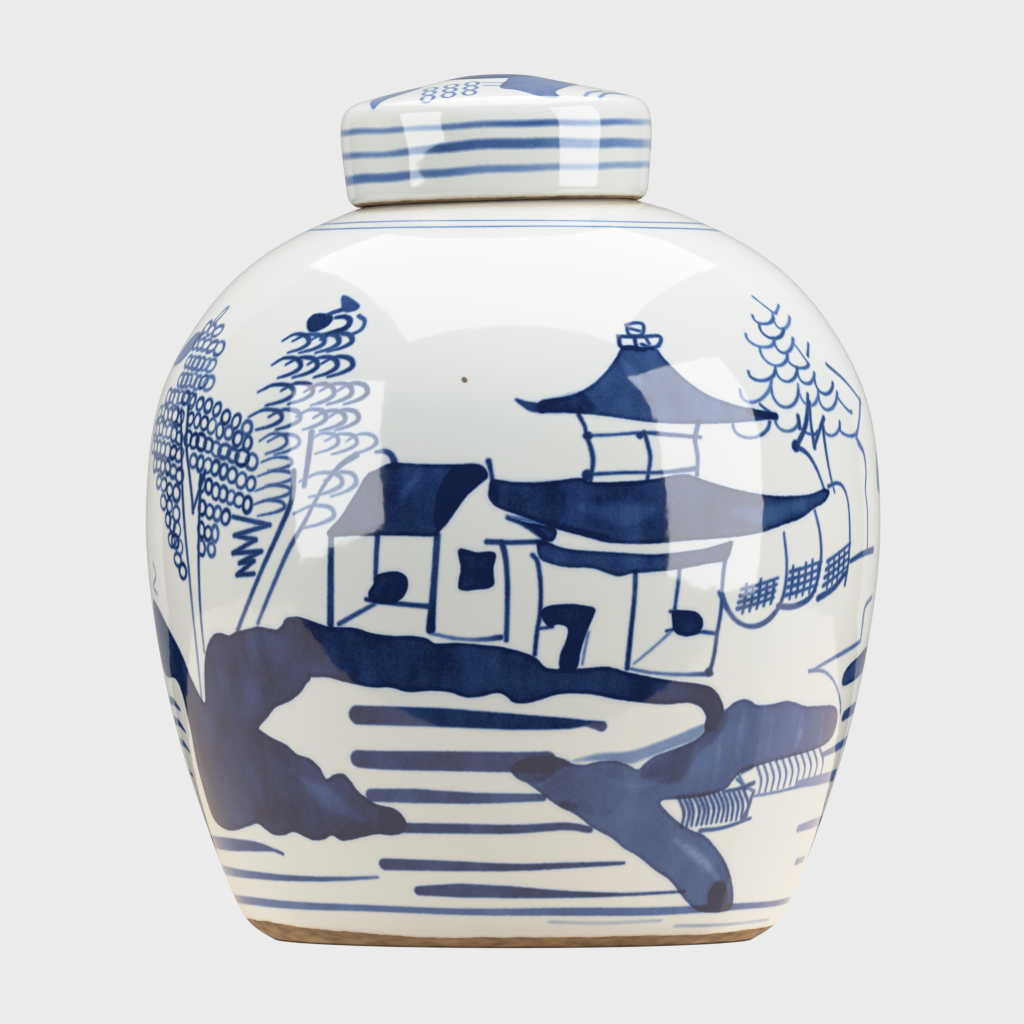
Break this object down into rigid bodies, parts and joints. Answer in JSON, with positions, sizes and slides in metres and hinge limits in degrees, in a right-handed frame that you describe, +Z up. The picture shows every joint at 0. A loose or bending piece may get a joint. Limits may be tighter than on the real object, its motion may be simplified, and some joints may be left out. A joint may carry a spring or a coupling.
{
  "type": "ginger jar",
  "caption": "Lidded porcelain ginger jar with a painted blue landscape, a short neck and a loose cap lid, standing on a foot ring.",
  "frame": {"origin": "on the jar's axis, in the plane that the foot ring stands on", "axes": "+Z up along the jar's axis, -Y out of the decorated front, +X to the right of a person who faces the front"},
  "size_m": [0.203, 0.203, 0.2388],
  "materials": {
    "jar_glaze": "glossy clear glaze over a cobalt blue painting, with an unglazed foot ring",
    "lid_glaze": "glossy clear glaze over cobalt blue bands, with an unglazed rim"
  },
  "bodies": {
    "jar": {"jar_body": "jar_glaze"},
    "lid": {"lid": "lid_glaze"}
  },
  "joints": [
    {"name": "lid_lift", "type": "slide", "parent": "jar", "child": "lid", "axis": [0, 0, 1], "range_m": [0, 0.1]}
  ]
}
